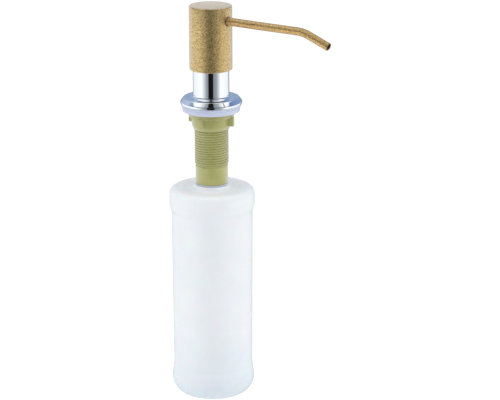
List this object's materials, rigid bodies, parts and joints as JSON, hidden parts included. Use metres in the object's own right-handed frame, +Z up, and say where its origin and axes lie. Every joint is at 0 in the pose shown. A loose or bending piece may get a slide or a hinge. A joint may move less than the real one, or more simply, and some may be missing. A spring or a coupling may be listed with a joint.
{
  "type": "soap pump dispenser",
  "caption": "Deck-mounted soap dispenser: press-down head with a long bent spout, flanged collar, threaded shank with wing nut, and a bottle below.",
  "frame": {"origin": "centre of the deck hole, on the deck's upper face", "axes": "+Z up along the shank's axis, +X along the spout"},
  "size_m": [0.1472, 0.0692, 0.3243],
  "materials": {
    "speckled_coat": "fine sand and gold speckled coating, satin",
    "spout_coat": "the same speckled coating on the spout",
    "chrome": "polished",
    "gasket_plastic": "bluish white, translucent, satin",
    "shank_plastic": "olive yellow moulded plastic",
    "nut_plastic": "olive yellow moulded plastic",
    "bottle_plastic": "translucent white blown plastic",
    "pump_plastic": "white moulded plastic",
    "tube_plastic": "translucent white tube",
    "black_rubber": "matte black",
    "spring_steel": "drawn wire",
    "ball_steel": "polished ball"
  },
  "bodies": {
    "mount": {"chrome_collar": "chrome", "upper_gasket": "gasket_plastic", "threaded_shank": "shank_plastic"},
    "washer": {"under_washer": "gasket_plastic"},
    "nut": {"wing_nut": "nut_plastic"},
    "seal": {"bottle_seal": "gasket_plastic"},
    "bottle": {"bottle": "bottle_plastic"},
    "pump_unit": {"pump_cylinder": "pump_plastic", "cylinder_cap": "pump_plastic", "stem_wiper": "black_rubber", "return_spring": "spring_steel", "ball_cage": "pump_plastic", "dip_tube": "tube_plastic", "pump_gasket": "black_rubber"},
    "inlet_valve": {"inlet_ball": "ball_steel"},
    "plunger": {"pump_stem": "pump_plastic", "piston": "pump_plastic"},
    "outlet_valve": {"outlet_ball": "ball_steel"},
    "head": {"head_shell": "speckled_coat", "head_core": "pump_plastic", "spout_tube": "spout_coat", "spout_grommet": "black_rubber"}
  },
  "joints": [
    {"name": "washer_travel", "type": "slide", "parent": "mount", "child": "washer", "axis": [0, 0, 1], "range_m": [-0.028, 0]},
    {"name": "nut_turn", "type": "hinge", "parent": "washer", "child": "nut", "pos_m": [0, 0, -0.01], "axis": [0, 0, 1], "range_deg": [-5041, 0]},
    {"name": "bottle_travel", "type": "slide", "parent": "mount", "child": "seal", "axis": [0, 0, 1], "range_m": [-0.012, 0]},
    {"name": "bottle_turn", "type": "hinge", "parent": "seal", "child": "bottle", "pos_m": [0, 0, -0.1], "axis": [0, 0, 1], "range_deg": [-1441, 0]},
    {"name": "pump_lift", "type": "slide", "parent": "mount", "child": "pump_unit", "axis": [0, 0, 1], "range_m": [0, 0.27]},
    {"name": "pump_press", "type": "slide", "parent": "pump_unit", "child": "plunger", "axis": [0, 0, 1], "range_m": [-0.015, 0], "stiffness_N_per_m": 500, "springref_m": 0.008, "deforming": ["return_spring"]},
    {"name": "head_swivel", "type": "hinge", "parent": "plunger", "child": "head", "pos_m": [0, 0, 0.07], "axis": [0, 0, 1], "continuous": true},
    {"name": "inlet_ball_lift", "type": "slide", "parent": "pump_unit", "child": "inlet_valve", "axis": [0, 0, 1], "range_m": [0, 0.0015]},
    {"name": "outlet_ball_lift", "type": "slide", "parent": "plunger", "child": "outlet_valve", "axis": [0, 0, 1], "range_m": [0, 0.0015]}
  ],
  "couplings": [
    {"joint": "nut_turn", "follows": "washer_travel", "rad_per_m": 3141.6},
    {"joint": "bottle_turn", "follows": "bottle_travel", "rad_per_m": 2094.4}
  ]
}
